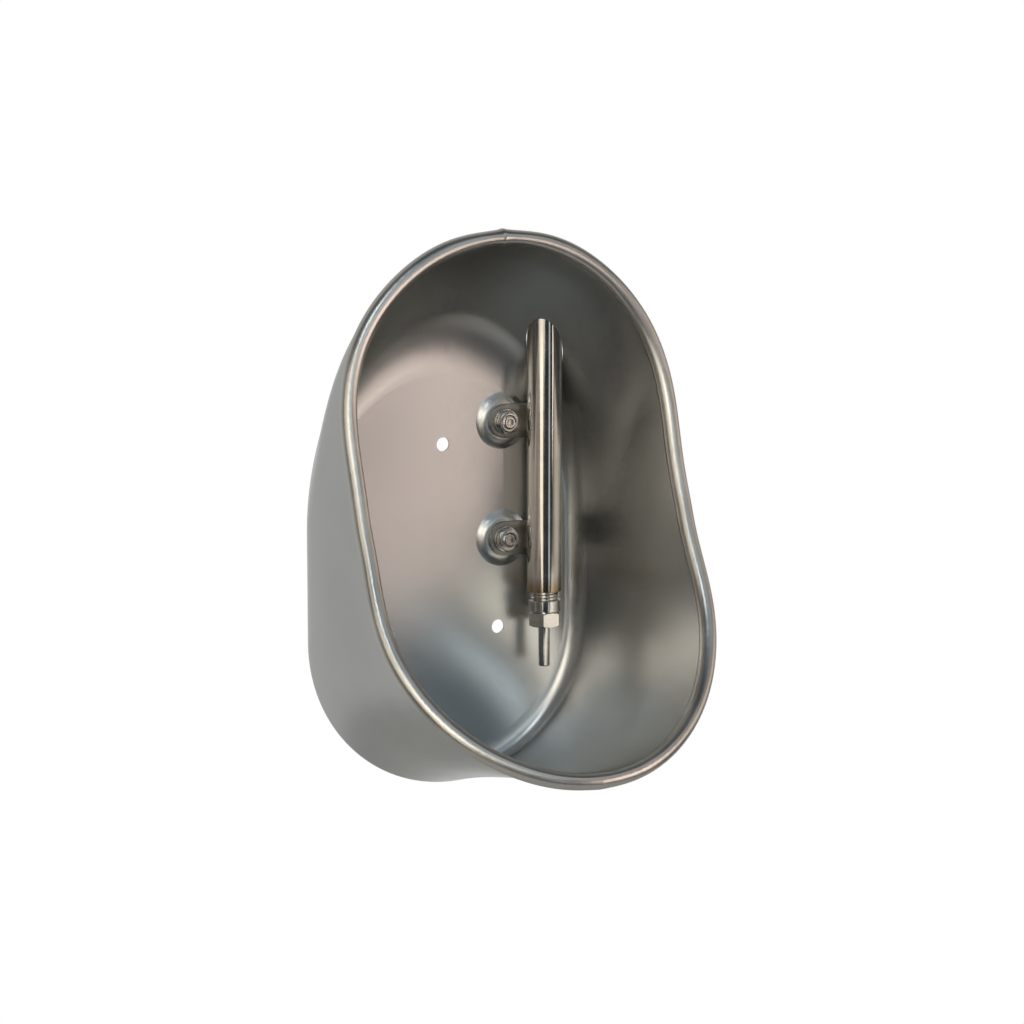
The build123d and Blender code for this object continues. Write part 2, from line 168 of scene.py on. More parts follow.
def per(size_mm):
    """The texture scale at which one feature is this many millimetres across."""
    return 1.0 / (size_mm * MM)


print("noise scale for 1 mm features:", per(1))

# %% [markdown]
# ## Drawn sheet
# The bowl is 304 stainless sheet with a 2B mill finish: rolled, pickled and skin-passed,
# which gives a soft, milky reflection. Deep drawing then pulls the sheet over the die. It
# leaves shallow waves a few centimetres across, faint lines along the pull, and cloudy
# patches where the lubricant was. One roughness value would look like plastic, so the
# cloud and a fine fleck are multiplied to vary it.

# %% Drawn sheet
def drawn_sheet():
    material, tree, place = new_material("stainless_sheet_2b_drawn")
    cloud = add(
        tree, "ShaderNodeTexNoise", {"Vector": place, "Scale": per(60), "Detail": 1.0}
    )
    fleck = add(
        tree, "ShaderNodeTexNoise", {"Vector": place, "Scale": per(1.2), "Detail": 2.0}
    )
    waves = add(
        tree, "ShaderNodeTexNoise", {"Vector": place, "Scale": per(80), "Detail": 0.0}
    )
    # rolling lines are hundredths of a millimetre apart, drawn at 0.7 mm so that they show
    rolled = add(tree, "ShaderNodeMapping", {"Vector": place, "Scale": (1, 1, 1 / 40)})
    lines = add(
        tree, "ShaderNodeTexNoise", {"Vector": rolled, "Scale": per(0.7), "Detail": 2.0}
    )
    spread = add(tree, "ShaderNodeMapRange", {"Value": cloud, **NOISE_BAND})
    colour = add(
        tree,
        "ShaderNodeMix",
        {"Factor": spread, "A": linear("#C3C4C3"), "B": linear("#CDCECC")},
        data_type="RGBA",
    )
    milk = add(tree, "ShaderNodeMath", {0: cloud, 1: fleck}, operation="MULTIPLY")
    # a product of two noises lies lower than one noise does, so its band is its own
    roughness = add(
        tree,
        "ShaderNodeMapRange",
        {"Value": milk, "From Min": 0.15, "From Max": 0.38, "To Min": 0.28, "To Max": 0.35},
    )
    wavy = add(
        tree, "ShaderNodeBump", {"Height": waves, "Strength": 1.0, "Distance": 1.0 * MM}
    )
    lined = add(
        tree,
        "ShaderNodeBump",
        {"Height": lines, "Strength": 1.0, "Distance": 0.006 * MM, "Normal": wavy},
    )
    shader = add(
        tree,
        "ShaderNodeBsdfPrincipled",
        {"Base Color": colour, "Metallic": 1.0, "Roughness": roughness, "Normal": lined},
    )
    add(tree, "ShaderNodeOutputMaterial", {"Surface": shader})
    return material


sheet_steel = drawn_sheet()
print(sheet_steel.name, "has", len(sheet_steel.node_tree.nodes), "nodes")

# %% [markdown]
# ## Bright tube
# The tube is bright annealed and keeps sharp reflections, with fine lines along its
# length. The heat of welding has turned its lower end straw brown. The tint is a blend
# to a second colour by height, and a little of the cloud is added to the height, so that
# its edge is ragged as on the real tube.

# %% Bright tube
PIPE_BOTTOM = -50.7
TINT_FROM, TINT_TO = PIPE_BOTTOM + 3, PIPE_BOTTOM + 13
TINT_RAGGED, TINT_STRENGTH = 4, 0.85


def bright_tube():
    material, tree, place = new_material("stainless_tube_bright_annealed")
    cloud = add(
        tree, "ShaderNodeTexNoise", {"Vector": place, "Scale": per(12), "Detail": 2.0}
    )
    # drawing lines of 0.05 mm, drawn at 0.3 mm so that they show
    drawn = add(tree, "ShaderNodeMapping", {"Vector": place, "Scale": (1, 1, 1 / 80)})
    lines = add(
        tree, "ShaderNodeTexNoise", {"Vector": drawn, "Scale": per(0.3), "Detail": 2.0}
    )
    spread = add(tree, "ShaderNodeMapRange", {"Value": cloud, **NOISE_BAND})
    clean = add(
        tree,
        "ShaderNodeMix",
        {"Factor": spread, "A": linear("#CBC7C0"), "B": linear("#D6D3CE")},
        data_type="RGBA",
    )
    height = add(tree, "ShaderNodeSeparateXYZ", {"Vector": place}).outputs["Z"]
    ragged = add(
        tree,
        "ShaderNodeMath",
        {0: cloud, 1: TINT_RAGGED * MM, 2: height},
        operation="MULTIPLY_ADD",
    )
    heat = add(
        tree,
        "ShaderNodeMapRange",
        {
            "Value": ragged,
            "From Min": TINT_FROM * MM,
            "From Max": TINT_TO * MM,
            "To Min": TINT_STRENGTH,
            "To Max": 0.0,
        },
    )
    colour = add(
        tree,
        "ShaderNodeMix",
        {"Factor": heat, "A": clean, "B": linear("#9C8363")},
        data_type="RGBA",
    )
    roughness = add(
        tree,
        "ShaderNodeMapRange",
        {"Value": cloud, **NOISE_BAND, "To Min": 0.09, "To Max": 0.14},
    )
    lined = add(
        tree, "ShaderNodeBump", {"Height": lines, "Strength": 1.0, "Distance": 0.002 * MM}
    )
    shader = add(
        tree,
        "ShaderNodeBsdfPrincipled",
        {"Base Color": colour, "Metallic": 1.0, "Roughness": roughness, "Normal": lined},
    )
    add(tree, "ShaderNodeOutputMaterial", {"Surface": shader})
    return material


tube_steel = bright_tube()
print(tube_steel.name, "has", len(tube_steel.node_tree.nodes), "nodes")

# %% [markdown]
# ## Turned steel
# Valve and pin are turned from bar, and turning leaves one fine ring for each step of the
# tool's feed. The rings are real bands round the axis, so a wave texture along Z draws
# them, where noise would only look brushed.

# %% Turned steel
# a wave texture goes through 20 radians of its sine over one unit of its scale
WAVE_RADIANS = 20
RING_PITCH = 3.1416


def turned_steel():
    material, tree, place = new_material("stainless_bar_turned")
    # the tool feeds 0.1 mm a turn, too fine to see, so the rings are drawn 3.1 mm apart
    rings = add(
        tree,
        "ShaderNodeTexWave",
        {
            "Vector": place,
            "Scale": per(RING_PITCH) * 2 * math.pi / WAVE_RADIANS,
            "Distortion": 0.0,
            "Detail": 0.0,
        },
        bands_direction="Z",
    ).outputs["Fac"]
    dull = add(
        tree, "ShaderNodeTexNoise", {"Vector": place, "Scale": per(4), "Detail": 2.0}
    )
    spread = add(tree, "ShaderNodeMapRange", {"Value": dull, **NOISE_BAND})
    colour = add(
        tree,
        "ShaderNodeMix",
        {"Factor": spread, "A": linear("#C3C0BB"), "B": linear("#D2D0CC")},
        data_type="RGBA",
    )
    roughness = add(
        tree,
        "ShaderNodeMapRange",
        {"Value": dull, **NOISE_BAND, "To Min": 0.1, "To Max": 0.17},
    )
    ringed = add(
        tree, "ShaderNodeBump", {"Height": rings, "Strength": 1.0, "Distance": 0.003 * MM}
    )
    shader = add(
        tree,
        "ShaderNodeBsdfPrincipled",
        {"Base Color": colour, "Metallic": 1.0, "Roughness": roughness, "Normal": ringed},
    )
    add(tree, "ShaderNodeOutputMaterial", {"Surface": shader})
    return material


machined_steel = turned_steel()
print(machined_steel.name, "has", len(machined_steel.node_tree.nodes), "nodes")

# %% [markdown]
# ## The plainer metals
# Five finishes share one recipe: a cloud that shifts the tone and the roughness
# together, and fine marks in the surface. The rim's round bar is polished by hand to a
# satin. The lugs are pickled plate: dull, pale and blotchy. A weld bead shows tempering
# colours, straw where it was cooler and grey where it was hot. Bolts, nuts and washers
# are A2 stainless, barrel-tumbled, so they are bright with small dents. The spring is
# drawn wire.

# %% Plainer metals
def worked_metal(name, tones, roughness, cloud, marks, marks_depth, stretch=1):
    """cloud and marks are each a size in millimetres and a noise detail."""
    material, tree, place = new_material(name)
    clouds = add(
        tree,
        "ShaderNodeTexNoise",
        {"Vector": place, "Scale": per(cloud[0]), "Detail": cloud[1]},
    )
    squeezed = add(tree, "ShaderNodeMapping", {"Vector": place, "Scale": (1, 1, 1 / stretch)})
    fine = add(
        tree,
        "ShaderNodeTexNoise",
        {"Vector": squeezed, "Scale": per(marks[0]), "Detail": marks[1]},
    )
    spread = add(tree, "ShaderNodeMapRange", {"Value": clouds, **NOISE_BAND})
    colour = add(
        tree,
        "ShaderNodeMix",
        {"Factor": spread, "A": linear(tones[0]), "B": linear(tones[1])},
        data_type="RGBA",
    )
    dullness = add(
        tree,
        "ShaderNodeMapRange",
        {"Value": clouds, **NOISE_BAND, "To Min": roughness[0], "To Max": roughness[1]},
    )
    marked = add(
        tree,
        "ShaderNodeBump",
        {"Height": fine, "Strength": 1.0, "Distance": marks_depth * MM},
    )
    shader = add(
        tree,
        "ShaderNodeBsdfPrincipled",
        {"Base Color": colour, "Metallic": 1.0, "Roughness": dullness, "Normal": marked},
    )
    add(tree, "ShaderNodeOutputMaterial", {"Surface": shader})
    return material


# the polishing belt leaves marks of 0.1 mm, drawn at 0.4 mm so that they show
satin_bar = worked_metal(
    "stainless_bar_satin_polished", ("#C9C6C0", "#D6D4CF"), (0.28, 0.36),
    cloud=(25, 3.0), marks=(0.4, 2.0), marks_depth=0.004, stretch=3,
)
# pickling acid eats a grain of a few hundredths, drawn at 0.3 mm
pickled_plate = worked_metal(
    "stainless_plate_pickled", ("#97948E", "#ADABA6"), (0.34, 0.5),
    cloud=(6, 4.0), marks=(0.3, 2.0), marks_depth=0.01,
)
weld_metal = worked_metal(
    "stainless_weld_tinted", ("#8E8A86", "#B9A88C"), (0.24, 0.4),
    cloud=(3, 3.0), marks=(0.4, 3.0), marks_depth=0.02,
)
tumbled_steel = worked_metal(
    "stainless_fastener_tumbled", ("#ABA8A2", "#C4C2BD"), (0.18, 0.3),
    cloud=(3, 3.0), marks=(0.6, 2.0), marks_depth=0.012,
)
spring_wire = worked_metal(
    "stainless_spring_wire", ("#9B9B9B", "#B2B2B0"), (0.16, 0.26),
    cloud=(1.2, 2.0), marks=(1.2, 2.0), marks_depth=0.004,
)

# %% [markdown]
# ## Rubber and plastic
# Inside the valve sit an EPDM seal, black and matt from its mould, and three mouldings
# in natural acetal: waxy, off-white and slightly see-through at thin edges. They are
# hardly seen, but the part may be opened or cut, so they get the right stuff too.

# %% Rubber and plastic
def moulded(name, tones, roughness, grain_mm, grain_depth, glow):
    material, tree, place = new_material(name)
    cloud = add(
        tree, "ShaderNodeTexNoise", {"Vector": place, "Scale": per(5), "Detail": 2.0}
    )
    grain = add(
        tree, "ShaderNodeTexNoise", {"Vector": place, "Scale": per(grain_mm), "Detail": 2.0}
    )
    spread = add(tree, "ShaderNodeMapRange", {"Value": cloud, **NOISE_BAND})
    colour = add(
        tree,
        "ShaderNodeMix",
        {"Factor": spread, "A": linear(tones[0]), "B": linear(tones[1])},
        data_type="RGBA",
    )
    dullness = add(
        tree,
        "ShaderNodeMapRange",
        {"Value": cloud, **NOISE_BAND, "To Min": roughness[0], "To Max": roughness[1]},
    )
    grained = add(
        tree,
        "ShaderNodeBump",
        {"Height": grain, "Strength": 1.0, "Distance": grain_depth * MM},
    )
    shader = add(
        tree,
        "ShaderNodeBsdfPrincipled",
        {
            "Base Color": colour,
            "Metallic": 0.0,
            "Roughness": dullness,
            "Normal": grained,
            "Subsurface Weight": glow,
            "Subsurface Scale": 1 * MM,
        },
    )
    add(tree, "ShaderNodeOutputMaterial", {"Surface": shader})
    return material


rubber = moulded("epdm_rubber_moulded", ("#131313", "#1C1C1B"), (0.5, 0.65), 0.25, 0.008, 0.0)
acetal = moulded("acetal_natural_moulded", ("#DDDAD0", "#E9E6DD"), (0.32, 0.42), 0.4, 0.003, 0.15)

# %% [markdown]
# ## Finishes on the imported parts
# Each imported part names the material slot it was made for, and each slot gets its finish
# here. The parts' own meshes are never touched, only what covers them.

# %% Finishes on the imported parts
slot_finish = {
    "stainless_sheet": sheet_steel,
    "polished_stainless": satin_bar,
    "stainless_plate": pickled_plate,
    "fastener_steel": tumbled_steel,
    "machined_stainless": machined_steel,
    "spring_steel": spring_wire,
    "seal_rubber": rubber,
    "valve_plastic": acetal,
}
for row in frame["record"]["subparts"]:
    data = nodes[row["node"]].data
    data.materials.clear()
    data.materials.append(slot_finish[row["material_slot"]])
print(len(slot_finish), "slots on", len(nodes), "packed parts")

# %% [markdown]
# ## Tools for turned pieces
# Everything on the pipe and on the bolts is round or hexagonal, so it is built as it is
# turned: in rings about an axis. A spin would give the same bare shape, but rings can
# also change from round to hexagonal, which a spin can't. Each ring is a circle from an
# operator, and neighbouring rings are bridged. Pieces are made in millimetres about
# their own axis, and only the finished mesh is scaled to metres and put in place.

# %% Rings and bridges
RING_STEPS = 96
HEX_CROWN = math.tan(math.radians(30))
SIXTH_TURN = math.radians(60)
ON_PLANE = 1e-3
# a slanted direction, along which no two parts of a round piece lie level
ORDER_WAY = Vector((1.0, 31.7, 1013.3))


def edges_between(corners):
    """The edges whose two ends are both among these corners."""
    # a dict keeps the order that things were put in, so each run numbers the faces alike,
    # while the order of a set would change from run to run
    found = dict.fromkeys(edge for corner in corners for edge in corner.link_edges)
    known = set(corners)
    return [edge for edge in found if known.issuperset(edge.verts)]


def corners_of(ring):
    return list(dict.fromkeys(corner for edge in ring for corner in edge.verts))


def round_ring(mesh, radius, height, steps=RING_STEPS):
    place = Matrix.Translation((0, 0, height))
    made = bmesh.ops.create_circle(mesh, segments=steps, radius=radius, matrix=place)
    return edges_between(made["verts"])


def hexagon_ring(mesh, flats, height, crown_radius, crown_way, steps=RING_STEPS):
    """A ring drawn out to a hexagon, whose corners drop away from the crown circle."""
    ring = round_ring(mesh, flats / 2, height, steps)
    for corner in corners_of(ring):
        turn = math.atan2(corner.co.y, corner.co.x)
        from_flat = turn % SIXTH_TURN - SIXTH_TURN / 2
        corner.co.xy /= math.cos(from_flat)
        beyond = max(0.0, corner.co.xy.length - crown_radius)
        corner.co.z -= crown_way * beyond * HEX_CROWN
    return ring


def put_in_order(mesh):
    """Number corners, edges and faces by their place, as spin does it anew on each run."""
    mesh.verts.sort(key=lambda corner: corner.co.dot(ORDER_WAY))
    mesh.edges.sort(key=lambda edge: (edge.verts[0].co + edge.verts[1].co).dot(ORDER_WAY))
    mesh.faces.sort(key=lambda face: face.calc_center_median().dot(ORDER_WAY))


def bridge(mesh, *rings):
    for one, other in zip(rings, rings[1:]):
        bmesh.ops.bridge_loops(mesh, edges=one + other)


def close_ring(mesh, ring, height):
    """Draw a ring together to one point on the axis."""
    bmesh.ops.pointmerge(mesh, verts=corners_of(ring), merge_co=(0, 0, height))


def loop_at(mesh, height):
    """The open edge of a wound thread, where it was cut square."""
    return [
        edge
        for edge in mesh.edges
        if edge.is_boundary and all(abs(v.co.z - height) < ON_PLANE for v in edge.verts)
    ]


print("a ring has", RING_STEPS, "steps")

# %% [markdown]
# ## A real screw thread
# A thread is one V-shaped tooth wound round an axis while it climbs by one pitch a turn.
# Rings stacked up the axis would look alike from far away, but a nut couldn't climb
# them, and a close view shows it. The spin operator takes a climb for each step, so it
# winds the tooth as a lathe does. Each turn's last edge meets the next turn's first, and
# merging them closes the skin. Two flat cuts then trim it square.

# %% Thread
THREAD_STEPS = 48
TURN_SEAM = 5e-3


def wind_thread(mesh, root, crest, pitch, low, high):
    """Wind a thread into a mesh, and give its lower and upper open edge."""
    bar = bmesh.new()
    start = low - 1.5 * pitch
    turns = math.ceil((high - start) / pitch) + 1
    # each row is a radius and its place along the pitch
    tooth = ((root, 0), (root, 0.12), (crest, 0.46), (crest, 0.60), (root, 0.94), (root, 1))
    points = [bar.verts.new((radius, 0, start + share * pitch)) for radius, share in tooth]
    sides = [bar.edges.new(pair) for pair in zip(points, points[1:])]
    bmesh.ops.spin(
        bar,
        geom=points + sides,
        cent=(0, 0, 0),
        axis=(0, 0, 1),
        dvec=(0, 0, pitch / THREAD_STEPS),
        angle=turns * 2 * math.pi,
        steps=turns * THREAD_STEPS,
        use_merge=False,
    )
    bmesh.ops.remove_doubles(bar, verts=bar.verts, dist=TURN_SEAM)
    for height, way in ((low, -1), (high, 1)):
        bmesh.ops.bisect_plane(
            bar,
            geom=bar.verts[:] + bar.edges[:] + bar.faces[:],
            plane_co=(0, 0, height),
            plane_no=(0, 0, way),
            clear_outer=True,
        )
    put_in_order(bar)
    # cutting leaves holes in a bmesh's memory, which the next pieces would fill in any order
    clean = bpy.data.meshes.new("thread")
    bar.to_mesh(clean)
    bar.free()
    mesh.from_mesh(clean)
    bpy.data.meshes.remove(clean)
    return loop_at(mesh, low), loop_at(mesh, high)


print("a turn of thread has", THREAD_STEPS, "steps")

# %% [markdown]
# ## Putting a finished piece on the bowl
# A piece stays at the origin, with its place in its mesh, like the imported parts. It rides
# on its body, so it moves when the pin moves, and it hides the plain part that it
# stands for. Edges sharper than 30 degrees stay crisp, and the rest is shaded smooth.

# %% Finished pieces
SHARP_ANGLE = math.radians(30)


def add_piece(name, mesh, place, material, body, replaced):
    put_in_order(mesh)
    bmesh.ops.transform(mesh, matrix=place @ Matrix.Scale(MM, 4), verts=mesh.verts)
    bmesh.ops.recalc_face_normals(mesh, faces=mesh.faces)
    open_edges = sum(1 for edge in mesh.edges if not edge.is_manifold)
    data = bpy.data.meshes.new(name)
    mesh.to_mesh(data)
    mesh.free()
    for face in data.polygons:
        face.use_smooth = True
    data.set_sharp_from_angle(angle=SHARP_ANGLE)
    data.materials.append(material)
    piece = bpy.data.objects.new(name, data)
    bpy.context.scene.collection.objects.link(piece)
    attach(piece, body)
    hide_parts(replaced)
    print(name, len(data.polygons), "faces,", open_edges, "open edges")
    return piece


print("edges stay sharp from", round(math.degrees(SHARP_ANGLE)), "degrees")

# %% [markdown]
# ## The water pipe
# On the real bowl this is a bright welded tube, half-inch pipe size, with a pipe thread
# cut on its upper end and a socket bored in its lower end for the valve. It could be a
# cylinder with the Screw modifier's thread beside it, but rings give tube, shoulder,
# thread, bore and socket as one closed skin.

# %% Water pipe
PIPE_X, PIPE_DEPTH = 60.4, 17.2
PIPE_RADIUS, PIPE_BORE = 10.65, 8.65
PIPE_TOP, PIPE_THREAD_FROM = 160.0, 145.0
PIPE_THREAD_ROOT, PIPE_THREAD_CREST, PIPE_THREAD_PITCH = 9.35, 10.48, 1.814
SOCKET_RADIUS, SOCKET_TOP = 9.1, -40.3
SHOULDER, END_ROUND, BORE_LEAD, THREAD_LEAD = 0.4, 0.35, 0.3, 0.8
pipe_axis = Matrix.Translation(mm(PIPE_X, -PIPE_DEPTH, 0))

pipe = bmesh.new()
thread_low, thread_high = wind_thread(
    pipe, PIPE_THREAD_ROOT, PIPE_THREAD_CREST, PIPE_THREAD_PITCH,
    PIPE_THREAD_FROM, PIPE_TOP - THREAD_LEAD,
)
shoulder = round_ring(pipe, PIPE_RADIUS - SHOULDER, PIPE_THREAD_FROM)
# down the outside, round the lower end, up through the bore, and out at the top
skin = (
    (PIPE_RADIUS, PIPE_THREAD_FROM - SHOULDER),
    (PIPE_RADIUS, PIPE_BOTTOM + END_ROUND),
    (PIPE_RADIUS - END_ROUND, PIPE_BOTTOM),
    (SOCKET_RADIUS + BORE_LEAD, PIPE_BOTTOM),
    (SOCKET_RADIUS, PIPE_BOTTOM + BORE_LEAD),
    (SOCKET_RADIUS, SOCKET_TOP),
    (PIPE_BORE, SOCKET_TOP),
    (PIPE_BORE, PIPE_TOP - BORE_LEAD),
    (PIPE_BORE + BORE_LEAD, PIPE_TOP),
    (PIPE_THREAD_ROOT - 0.1, PIPE_TOP),
)
pipe_rings = [round_ring(pipe, radius, height) for radius, height in skin]
bridge(pipe, thread_low, shoulder, *pipe_rings, thread_high)
add_piece(
    "water_pipe_tube", pipe, pipe_axis, tube_steel, "bowl",
    "water_pipe",
)

# %% [markdown]
# ## The valve body
# This is one turned piece: a threaded spigot that screws into the pipe, a round collar
# and a spanner hexagon, bored out for the ball of the pin. The hexagon's corners are
# turned off at 30 degrees, which leaves the curved chamfer that every spanner fitting
# has. That chamfer is why the hexagon is a ring of 96 steps, whose points sink by how
# far they lie outside the crown circle, and not a plain six-sided prism.

# %% Valve body
COLLAR_TOP, COLLAR_BOTTOM, HEX_BOTTOM, SPIGOT_TOP = -55.6, -63.6, -72.4, -41.1
COLLAR_RADIUS, VALVE_HEX_FLATS = 10.0, 18.0
PIVOT_Z, CAVITY_RADIUS, THROAT_RADIUS, VALVE_MOUTH_RADIUS = -60.0, 7.65, 4.7, 6.0
SPIGOT_ROOT, SPIGOT_CREST, SPIGOT_PITCH, SPIGOT_LEAD = 8.4, 9.0, 1.8, 0.5
CAVITY_RINGS = 10
TOP_CROWN, BOTTOM_CROWN = VALVE_HEX_FLATS / 2 - 0.1, VALVE_HEX_FLATS / 2 - 0.3

valve = bmesh.new()
spigot_low, spigot_high = wind_thread(
    valve, SPIGOT_ROOT, SPIGOT_CREST, SPIGOT_PITCH, COLLAR_TOP, SPIGOT_TOP - SPIGOT_LEAD
)
collar = [
    round_ring(valve, radius, height)
    for radius, height in (
        (9.3, COLLAR_TOP),
        (9.55, COLLAR_TOP - 0.1),
        (COLLAR_RADIUS, COLLAR_TOP - 0.6),
        (COLLAR_RADIUS, COLLAR_BOTTOM + 0.8),
        (COLLAR_RADIUS - 0.7, COLLAR_BOTTOM + 0.1),
        (TOP_CROWN, COLLAR_BOTTOM),
    )
]
hexagon = [
    hexagon_ring(valve, VALVE_HEX_FLATS, COLLAR_BOTTOM, TOP_CROWN, 1),
    hexagon_ring(valve, VALVE_HEX_FLATS, HEX_BOTTOM, BOTTOM_CROWN, -1),
    round_ring(valve, BOTTOM_CROWN - 0.1, HEX_BOTTOM),
    round_ring(valve, VALVE_MOUTH_RADIUS + 0.3, HEX_BOTTOM),
    round_ring(valve, VALVE_MOUTH_RADIUS, HEX_BOTTOM + 0.3),
]
throat_angle = math.asin(THROAT_RADIUS / CAVITY_RADIUS)
cavity = []
for step in range(CAVITY_RINGS + 1):
    angle = throat_angle + (math.pi / 2 - throat_angle) * step / CAVITY_RINGS
    cavity.append(
        round_ring(
            valve, CAVITY_RADIUS * math.sin(angle), PIVOT_Z - CAVITY_RADIUS * math.cos(angle)
        )
    )
spigot_end = [
    round_ring(valve, CAVITY_RADIUS, SPIGOT_TOP - 0.2),
    round_ring(valve, CAVITY_RADIUS + 0.15, SPIGOT_TOP),
    round_ring(valve, SPIGOT_ROOT - 0.2, SPIGOT_TOP),
]
bridge(valve, spigot_low, *collar, *hexagon, *cavity, *spigot_end, spigot_high)
add_piece(
    "valve_body_turned", valve, pipe_axis, machined_steel, "bowl",
    "valve_body",
)

# %% [markdown]
# ## The push pin
# The pin is turned from bar: a ball that the rubber seal grips, a thin neck that lets it
# tilt, and a stem with a rounded end that a snout can't be hurt by. It rides on its own
# body, so it lifts and tilts with the joints.

# %% Push pin
BALL_RADIUS, NECK_RADIUS, STEM_RADIUS = 4.6, 2.4, 3.5
NECK_END, PIN_TIP = -69.2, -97.2
BALL_RINGS, PIN_STEPS = 14, 64
POLE_RING, TIP_RING = 0.3, 0.5

pin = bmesh.new()
neck_angle = math.asin(NECK_RADIUS / BALL_RADIUS)
ball = []
for step in range(1, BALL_RINGS + 1):
    angle = math.pi + (neck_angle - math.pi) * step / BALL_RINGS
    ball.append(
        round_ring(
            pin,
            BALL_RADIUS * math.sin(angle),
            PIVOT_Z - BALL_RADIUS * math.cos(angle),
            PIN_STEPS,
        )
    )
stem = [
    round_ring(pin, radius, height, PIN_STEPS)
    for radius, height in (
        (NECK_RADIUS, NECK_END + 1.1),
        (STEM_RADIUS - 0.15, NECK_END + 0.05),
        (STEM_RADIUS, NECK_END - 0.15),
        (STEM_RADIUS, PIN_TIP + 0.75),
        (STEM_RADIUS - 0.1, PIN_TIP + 0.4),
        (STEM_RADIUS - 0.32, PIN_TIP + 0.13),
        (STEM_RADIUS - 0.7, PIN_TIP),
        (TIP_RING, PIN_TIP),
    )
]
bridge(pin, *ball, *stem)
crown = round_ring(pin, POLE_RING, PIVOT_Z + BALL_RADIUS - 0.01, PIN_STEPS)
bridge(pin, crown, ball[0])
close_ring(pin, crown, PIVOT_Z + BALL_RADIUS)
close_ring(pin, stem[-1], PIN_TIP)
add_piece(
    "push_pin_turned", pin, pipe_axis, machined_steel, "pin",
    "valve_pin",
)

# %% [markdown]
# ## The valve spring
# The spring presses the cup and the ball down onto the seal. Its wire is a small circle
# that the spin operator carries round and up, as a coiling machine does. When the pin is
# pushed, the cup rises by two millimetres, so the spring has to get shorter. Here the
# spring gets a mesh of its own, which is not squashed.

# %% Valve spring
SPRING_RADIUS, WIRE_RADIUS, SPRING_TURNS = 4.0, 0.45, 5
SPRING_LOW, SPRING_HIGH, PIN_STROKE = -52.8, -44.1, 2.0
SPRING_STEPS, WIRE_STEPS = 36, 12

spring = bmesh.new()
upright = Matrix.Rotation(math.radians(90), 4, "X")
wire_end = bmesh.ops.create_circle(
    spring,
    segments=WIRE_STEPS,
    radius=WIRE_RADIUS,
    matrix=Matrix.Translation((SPRING_RADIUS, 0, SPRING_LOW)) @ upright,
)
start_ring = wire_end["verts"]
bmesh.ops.spin(
    spring,
    geom=start_ring + edges_between(start_ring),
    cent=(0, 0, 0),
    axis=(0, 0, 1),
    dvec=(0, 0, (SPRING_HIGH - SPRING_LOW) / (SPRING_TURNS * SPRING_STEPS)),
    angle=SPRING_TURNS * 2 * math.pi,
    steps=SPRING_TURNS * SPRING_STEPS,
    use_merge=False,
)
open_ends = [edge for edge in spring.edges if edge.is_boundary]
bmesh.ops.holes_fill(spring, edges=open_ends, sides=WIRE_STEPS)
spring_piece = add_piece(
    "valve_spring_coil", spring, pipe_axis, spring_wire, "bowl",
    "valve_spring",
)
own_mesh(spring_piece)

# %% [markdown]
# ## Bolts, washers and nuts
# Two M8 bolts clamp the pipe's lugs to the pressed bosses. A nut is turned on a bar of
# hexagon section, so it has the same crowned corners as the valve. A washer is punched:
# its edge is rounded where the punch went in. The bolt's end is chamfered, with a small
# dimple left by its cold forging. A real nut stops wherever it is tight, so each is
# turned by its own angle.

# %% Fasteners
BOSS_X = 39.5
BOSSES = {"upper": (52.5, 8.0), "lower": (-19.0, 21.0)}
LUG_FRONT, WASHER_THICK, NUT_HEIGHT = 6.5, 1.6, 4.0
BOLT_SEAT, BOLT_HEAD_BACK, BOLT_TIP = 2.95, 0.55, 13.0
NUT_FLATS, NUT_CROWN_RADIUS = 13.0, 6.1
M8_ROOT, M8_CREST, M8_PITCH = 3.4, 4.0, 1.25
NUT_LEAD, BOLT_LEAD, THREAD_FROM = 0.5, 0.75, 7.0


def on_boss(height, depth, turn=0.0):
    """A place on a boss: the piece's axis points out of the wall."""
    face_out = Matrix.Rotation(math.radians(90), 4, "X")
    spun = Matrix.Rotation(math.radians(turn), 4, "Z")
    return Matrix.Translation(mm(BOSS_X, -depth, height)) @ face_out @ spun


def make_nut():
    nut = bmesh.new()
    bore, front, crown = M8_CREST + 0.05, NUT_HEIGHT, NUT_CROWN_RADIUS
    rings = [
        round_ring(nut, bore, NUT_LEAD),
        round_ring(nut, bore, front - NUT_LEAD),
        round_ring(nut, bore + NUT_LEAD, front),
        round_ring(nut, crown - 0.1, front),
        hexagon_ring(nut, NUT_FLATS, front, crown, 1),
        hexagon_ring(nut, NUT_FLATS, 0.0, crown, -1),
        round_ring(nut, crown - 0.1, 0.0),
        round_ring(nut, bore + NUT_LEAD, 0.0),
    ]
    bridge(nut, *rings, rings[0])
    return nut


def make_washer():
    washer = bmesh.new()
    # radius and height, from the hole's back edge outwards and round the punched edge
    section = (
        (4.3, 0.15), (4.45, 0.0), (7.85, 0.0), (8.0, 0.15), (8.0, 1.15), (7.93, 1.38),
        (7.78, 1.53), (7.55, 1.6), (4.45, 1.6), (4.3, 1.45),
    )
    rings = [round_ring(washer, radius, height) for radius, height in section]
    bridge(washer, *rings, rings[0])
    return washer


